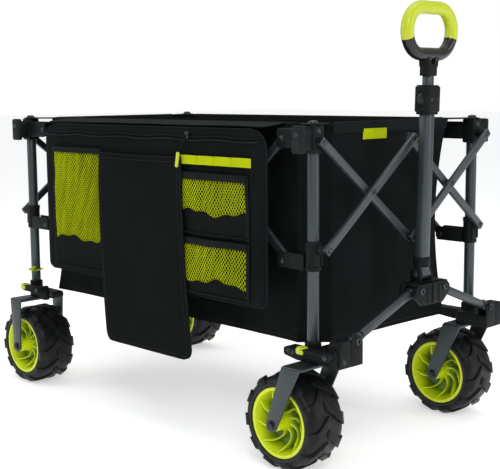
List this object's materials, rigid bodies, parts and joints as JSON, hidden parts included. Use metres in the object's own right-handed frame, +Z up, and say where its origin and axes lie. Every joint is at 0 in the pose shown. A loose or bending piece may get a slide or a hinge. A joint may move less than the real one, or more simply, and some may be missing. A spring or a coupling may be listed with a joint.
{
  "type": "folding wagon with pull handle",
  "caption": "Folding fabric wagon on four fat wheels, with scissor sides and ends, two front casters, a side bag and a telescoping pull handle.",
  "frame": {"origin": "centre of the bounding box, on the ground under the wheels", "axes": "+X forward to the handle end, +Y left, +Z up"},
  "size_m": [1.1425, 0.655, 0.9008],
  "materials": {
    "frame_paint": "satin powder coat",
    "black_plastic": "fine-grained moulding",
    "lime_plastic": "smooth moulding",
    "lime_rim": "moulding",
    "tyre": "rubber with block tread",
    "grip": "soft-touch moulding on a metal tube",
    "tub_fabric": "woven polyester",
    "bag_fabric": "woven polyester"
  },
  "bodies": {
    "front_right_corner": {"front_right_post": "frame_paint", "front_right_top_bracket": "black_plastic", "front_right_base_bracket": "black_plastic", "fabric_tub": "tub_fabric", "side_bag": "bag_fabric"},
    "front_left_corner": {"front_left_post": "frame_paint", "front_left_top_bracket": "black_plastic", "front_left_base_bracket": "black_plastic"},
    "rear_right_corner": {"rear_right_post": "frame_paint", "rear_right_top_bracket": "black_plastic", "rear_right_base_bracket": "black_plastic", "rear_right_fork": "frame_paint"},
    "rear_left_corner": {"rear_left_post": "frame_paint", "rear_left_top_bracket": "black_plastic", "rear_left_base_bracket": "black_plastic", "rear_left_fork": "frame_paint"},
    "front_right_slide_collar": {"front_right_slide_collar": "black_plastic"},
    "front_left_slide_collar": {"front_left_slide_collar": "black_plastic"},
    "rear_right_slide_collar": {"rear_right_slide_collar": "black_plastic"},
    "rear_left_slide_collar": {"rear_left_slide_collar": "black_plastic"},
    "front_bar_1": {"front_bar_1": "frame_paint"},
    "front_bar_2": {"front_bar_2": "frame_paint"},
    "front_bar_3": {"front_bar_3": "frame_paint"},
    "front_bar_4": {"front_bar_4": "frame_paint"},
    "right_bar_1": {"right_bar_1": "frame_paint"},
    "right_bar_2": {"right_bar_2": "frame_paint"},
    "right_bar_3": {"right_bar_3": "frame_paint"},
    "right_bar_4": {"right_bar_4": "frame_paint"},
    "right_bar_5": {"right_bar_5": "frame_paint"},
    "right_bar_6": {"right_bar_6": "frame_paint"},
    "left_bar_1": {"left_bar_1": "frame_paint"},
    "left_bar_2": {"left_bar_2": "frame_paint"},
    "left_bar_3": {"left_bar_3": "frame_paint"},
    "left_bar_4": {"left_bar_4": "frame_paint"},
    "left_bar_5": {"left_bar_5": "frame_paint"},
    "left_bar_6": {"left_bar_6": "frame_paint"},
    "rear_bar_1": {"rear_bar_1": "frame_paint"},
    "rear_bar_2": {"rear_bar_2": "frame_paint"},
    "rear_bar_3": {"rear_bar_3": "frame_paint"},
    "rear_bar_4": {"rear_bar_4": "frame_paint"},
    "right_front_arm": {"right_front_arm": "frame_paint"},
    "left_front_arm": {"left_front_arm": "frame_paint"},
    "handle_hub": {"handle_hub": "black_plastic"},
    "handle_outer_tube": {"handle_outer_tube": "frame_paint"},
    "handle_inner_tube": {"handle_inner_tube": "grip"},
    "handle_lock_button": {"handle_lock_button": "black_plastic"},
    "front_right_fork": {"front_right_fork": "frame_paint"},
    "front_right_wheel": {"front_right_rim": "lime_rim", "front_right_tyre": "tyre"},
    "front_right_pedal": {"front_right_pedal": "lime_plastic"},
    "front_left_fork": {"front_left_fork": "frame_paint"},
    "front_left_wheel": {"front_left_rim": "lime_rim", "front_left_tyre": "tyre"},
    "front_left_pedal": {"front_left_pedal": "lime_plastic"},
    "rear_right_wheel": {"rear_right_rim": "lime_rim", "rear_right_tyre": "tyre"},
    "rear_right_pedal": {"rear_right_pedal": "lime_plastic"},
    "rear_left_wheel": {"rear_left_rim": "lime_rim", "rear_left_tyre": "tyre"},
    "rear_left_pedal": {"rear_left_pedal": "lime_plastic"}
  },
  "joints": [
    {"name": "fold", "type": "hinge", "parent": "front_right_corner", "child": "front_bar_1", "pos_m": [0.4765, -0.2575, 0.635], "axis": [-1, 0, 0], "range_deg": [0, 34], "deforming": ["fabric_tub", "side_bag"]},
    {"name": "front_bar_2_pivot", "type": "hinge", "parent": "front_bar_1", "child": "front_bar_2", "pos_m": [0.4765, -0.12875, 0.5355], "axis": [-1, 0, 0], "range_deg": [-68.5, 0.5]},
    {"name": "front_bar_3_pivot", "type": "hinge", "parent": "front_bar_2", "child": "front_bar_3", "pos_m": [0.4765, 0, 0.635], "axis": [-1, 0, 0], "range_deg": [-0.5, 68.5]},
    {"name": "front_bar_4_pivot", "type": "hinge", "parent": "front_bar_3", "child": "front_bar_4", "pos_m": [0.4765, 0.12875, 0.5355], "axis": [-1, 0, 0], "range_deg": [-68.5, 0.5]},
    {"name": "front_left_post_pivot", "type": "hinge", "parent": "front_bar_4", "child": "front_left_corner", "pos_m": [0.4765, 0.2575, 0.635], "axis": [-1, 0, 0], "range_deg": [-0.5, 34.5]},
    {"name": "front_right_collar_pivot", "type": "hinge", "parent": "front_bar_2", "child": "front_right_slide_collar", "pos_m": [0.4765, -0.2575, 0.436], "axis": [-1, 0, 0], "range_deg": [-0.5, 34.5]},
    {"name": "front_left_collar_pivot", "type": "hinge", "parent": "front_bar_3", "child": "front_left_slide_collar", "pos_m": [0.4765, 0.2575, 0.436], "axis": [-1, 0, 0], "range_deg": [-34.5, 0.5]},
    {"name": "right_bar_1_pivot", "type": "hinge", "parent": "front_right_corner", "child": "right_bar_1", "pos_m": [0.4065, -0.2575, 0.642], "axis": [0, -1, 0], "range_deg": [-0.5, 33.62]},
    {"name": "right_bar_2_pivot", "type": "hinge", "parent": "right_bar_1", "child": "right_bar_2", "pos_m": [0.271, -0.2575, 0.5245], "axis": [0, -1, 0], "range_deg": [-66.73, 0.5]},
    {"name": "right_bar_3_pivot", "type": "hinge", "parent": "right_bar_2", "child": "right_bar_3", "pos_m": [0.1355, -0.2575, 0.642], "axis": [0, -1, 0], "range_deg": [-0.5, 66.73]},
    {"name": "right_bar_4_pivot", "type": "hinge", "parent": "right_bar_3", "child": "right_bar_4", "pos_m": [0, -0.2575, 0.5245], "axis": [0, -1, 0], "range_deg": [-66.73, 0.5]},
    {"name": "right_bar_5_pivot", "type": "hinge", "parent": "right_bar_4", "child": "right_bar_5", "pos_m": [-0.1355, -0.2575, 0.642], "axis": [0, -1, 0], "range_deg": [-0.5, 66.73]},
    {"name": "right_bar_6_pivot", "type": "hinge", "parent": "right_bar_5", "child": "right_bar_6", "pos_m": [-0.271, -0.2575, 0.5245], "axis": [0, -1, 0], "range_deg": [-66.73, 0.5]},
    {"name": "rear_right_post_pivot", "type": "hinge", "parent": "right_bar_6", "child": "rear_right_corner", "pos_m": [-0.4065, -0.2575, 0.642], "axis": [0, -1, 0], "range_deg": [-0.5, 33.62]},
    {"name": "rear_right_collar_pivot", "type": "hinge", "parent": "right_bar_5", "child": "rear_right_slide_collar", "pos_m": [-0.4065, -0.2575, 0.407], "axis": [0, -1, 0], "range_deg": [-33.62, 0.5]},
    {"name": "left_bar_1_pivot", "type": "hinge", "parent": "front_left_corner", "child": "left_bar_1", "pos_m": [0.4065, 0.2575, 0.642], "axis": [0, -1, 0], "range_deg": [-0.5, 33.62]},
    {"name": "left_bar_2_pivot", "type": "hinge", "parent": "left_bar_1", "child": "left_bar_2", "pos_m": [0.271, 0.2575, 0.5245], "axis": [0, -1, 0], "range_deg": [-66.73, 0.5]},
    {"name": "left_bar_3_pivot", "type": "hinge", "parent": "left_bar_2", "child": "left_bar_3", "pos_m": [0.1355, 0.2575, 0.642], "axis": [0, -1, 0], "range_deg": [-0.5, 66.73]},
    {"name": "left_bar_4_pivot", "type": "hinge", "parent": "left_bar_3", "child": "left_bar_4", "pos_m": [0, 0.2575, 0.5245], "axis": [0, -1, 0], "range_deg": [-66.73, 0.5]},
    {"name": "left_bar_5_pivot", "type": "hinge", "parent": "left_bar_4", "child": "left_bar_5", "pos_m": [-0.1355, 0.2575, 0.642], "axis": [0, -1, 0], "range_deg": [-0.5, 66.73]},
    {"name": "left_bar_6_pivot", "type": "hinge", "parent": "left_bar_5", "child": "left_bar_6", "pos_m": [-0.271, 0.2575, 0.5245], "axis": [0, -1, 0], "range_deg": [-66.73, 0.5]},
    {"name": "rear_bar_1_pivot", "type": "hinge", "parent": "rear_right_corner", "child": "rear_bar_1", "pos_m": [-0.4765, -0.2575, 0.635], "axis": [-1, 0, 0], "range_deg": [-0.5, 34.5]},
    {"name": "rear_bar_2_pivot", "type": "hinge", "parent": "rear_bar_1", "child": "rear_bar_2", "pos_m": [-0.4765, -0.12875, 0.5355], "axis": [-1, 0, 0], "range_deg": [-68.5, 0.5]},
    {"name": "rear_bar_3_pivot", "type": "hinge", "parent": "rear_bar_2", "child": "rear_bar_3", "pos_m": [-0.4765, 0, 0.635], "axis": [-1, 0, 0], "range_deg": [-0.5, 68.5]},
    {"name": "rear_bar_4_pivot", "type": "hinge", "parent": "rear_bar_3", "child": "rear_bar_4", "pos_m": [-0.4765, 0.12875, 0.5355], "axis": [-1, 0, 0], "range_deg": [-68.5, 0.5]},
    {"name": "rear_left_post_pivot", "type": "hinge", "parent": "rear_bar_4", "child": "rear_left_corner", "pos_m": [-0.4765, 0.2575, 0.635], "axis": [-1, 0, 0], "range_deg": [-0.5, 34.5]},
    {"name": "rear_left_collar_pivot", "type": "hinge", "parent": "rear_bar_3", "child": "rear_left_slide_collar", "pos_m": [-0.4765, 0.2575, 0.436], "axis": [-1, 0, 0], "range_deg": [-34.5, 0.5]},
    {"name": "right_front_arm_pivot", "type": "hinge", "parent": "front_right_corner", "child": "right_front_arm", "pos_m": [0.5455, -0.2215, 0.2645], "axis": [1, 0, 0], "range_deg": [-0.5, 61.29]},
    {"name": "left_front_arm_pivot", "type": "hinge", "parent": "front_left_corner", "child": "left_front_arm", "pos_m": [0.5455, 0.2215, 0.2645], "axis": [-1, 0, 0], "range_deg": [-0.5, 61.29]},
    {"name": "handle_hub_pivot", "type": "hinge", "parent": "right_front_arm", "child": "handle_hub", "pos_m": [0.5455, -0.0385, 0.335], "axis": [1, 0, 0], "range_deg": [-61.29, 0.5]},
    {"name": "handle_swing", "type": "hinge", "parent": "handle_hub", "child": "handle_outer_tube", "pos_m": [0.5365, 0, 0.364], "axis": [0, 1, 0], "range_deg": [0, 88]},
    {"name": "handle_extend", "type": "slide", "parent": "handle_outer_tube", "child": "handle_inner_tube", "axis": [0.0244, 0, 0.9997], "range_m": [0, 0.22]},
    {"name": "handle_lock_press", "type": "slide", "parent": "handle_outer_tube", "child": "handle_lock_button", "axis": [0, 1, 0], "range_m": [0, 0.004], "stiffness_N_per_m": 300},
    {"name": "front_right_caster_swivel", "type": "hinge", "parent": "front_right_corner", "child": "front_right_fork", "pos_m": [0.4765, -0.2575, 0.21], "axis": [0, 0, 1], "continuous": true},
    {"name": "front_right_wheel_spin", "type": "hinge", "parent": "front_right_fork", "child": "front_right_wheel", "pos_m": [0.4265, -0.2575, 0.096], "axis": [0, 1, 0], "continuous": true},
    {"name": "front_right_pedal_press", "type": "hinge", "parent": "front_right_corner", "child": "front_right_pedal", "pos_m": [0.5445, -0.2575, 0.245], "axis": [0, -1, 0], "range_deg": [0, 12]},
    {"name": "front_left_caster_swivel", "type": "hinge", "parent": "front_left_corner", "child": "front_left_fork", "pos_m": [0.4765, 0.2575, 0.21], "axis": [0, 0, 1], "continuous": true},
    {"name": "front_left_wheel_spin", "type": "hinge", "parent": "front_left_fork", "child": "front_left_wheel", "pos_m": [0.4265, 0.2575, 0.096], "axis": [0, 1, 0], "continuous": true},
    {"name": "front_left_pedal_press", "type": "hinge", "parent": "front_left_corner", "child": "front_left_pedal", "pos_m": [0.5445, 0.2575, 0.245], "axis": [0, -1, 0], "range_deg": [0, 12]},
    {"name": "rear_right_wheel_spin", "type": "hinge", "parent": "rear_right_corner", "child": "rear_right_wheel", "pos_m": [-0.4765, -0.2575, 0.096], "axis": [0, 1, 0], "continuous": true},
    {"name": "rear_right_pedal_press", "type": "hinge", "parent": "rear_right_corner", "child": "rear_right_pedal", "pos_m": [-0.4085, -0.2575, 0.245], "axis": [0, -1, 0], "range_deg": [0, 12]},
    {"name": "rear_left_wheel_spin", "type": "hinge", "parent": "rear_left_corner", "child": "rear_left_wheel", "pos_m": [-0.4765, 0.2575, 0.096], "axis": [0, 1, 0], "continuous": true},
    {"name": "rear_left_pedal_press", "type": "hinge", "parent": "rear_left_corner", "child": "rear_left_pedal", "pos_m": [-0.4085, 0.2575, 0.245], "axis": [0, -1, 0], "range_deg": [0, 12]}
  ],
  "couplings": [
    {"joint": "front_bar_2_pivot", "follows": "fold", "ratio": -2},
    {"joint": "front_bar_3_pivot", "follows": "fold", "ratio": 2},
    {"joint": "front_bar_4_pivot", "follows": "fold", "ratio": -2},
    {"joint": "front_left_post_pivot", "follows": "fold", "ratio": 1},
    {"joint": "front_right_collar_pivot", "follows": "fold", "ratio": 1},
    {"joint": "front_left_collar_pivot", "follows": "fold", "ratio": -1},
    {"joint": "right_bar_1_pivot", "follows": "fold", "ratio": 0.974},
    {"joint": "right_bar_2_pivot", "follows": "fold", "ratio": -1.948},
    {"joint": "right_bar_3_pivot", "follows": "fold", "ratio": 1.948},
    {"joint": "right_bar_4_pivot", "follows": "fold", "ratio": -1.948},
    {"joint": "right_bar_5_pivot", "follows": "fold", "ratio": 1.948},
    {"joint": "right_bar_6_pivot", "follows": "fold", "ratio": -1.948},
    {"joint": "rear_right_post_pivot", "follows": "fold", "ratio": 0.974},
    {"joint": "rear_right_collar_pivot", "follows": "fold", "ratio": -0.974},
    {"joint": "left_bar_1_pivot", "follows": "fold", "ratio": 0.974},
    {"joint": "left_bar_2_pivot", "follows": "fold", "ratio": -1.948},
    {"joint": "left_bar_3_pivot", "follows": "fold", "ratio": 1.948},
    {"joint": "left_bar_4_pivot", "follows": "fold", "ratio": -1.948},
    {"joint": "left_bar_5_pivot", "follows": "fold", "ratio": 1.948},
    {"joint": "left_bar_6_pivot", "follows": "fold", "ratio": -1.948},
    {"joint": "rear_bar_1_pivot", "follows": "fold", "ratio": 1},
    {"joint": "rear_bar_2_pivot", "follows": "fold", "ratio": -2},
    {"joint": "rear_bar_3_pivot", "follows": "fold", "ratio": 2},
    {"joint": "rear_bar_4_pivot", "follows": "fold", "ratio": -2},
    {"joint": "rear_left_post_pivot", "follows": "fold", "ratio": 1},
    {"joint": "rear_left_collar_pivot", "follows": "fold", "ratio": -1},
    {"joint": "right_front_arm_pivot", "follows": "fold", "ratio": 1.788},
    {"joint": "left_front_arm_pivot", "follows": "fold", "ratio": 1.788},
    {"joint": "handle_hub_pivot", "follows": "fold", "ratio": -1.788}
  ]
}
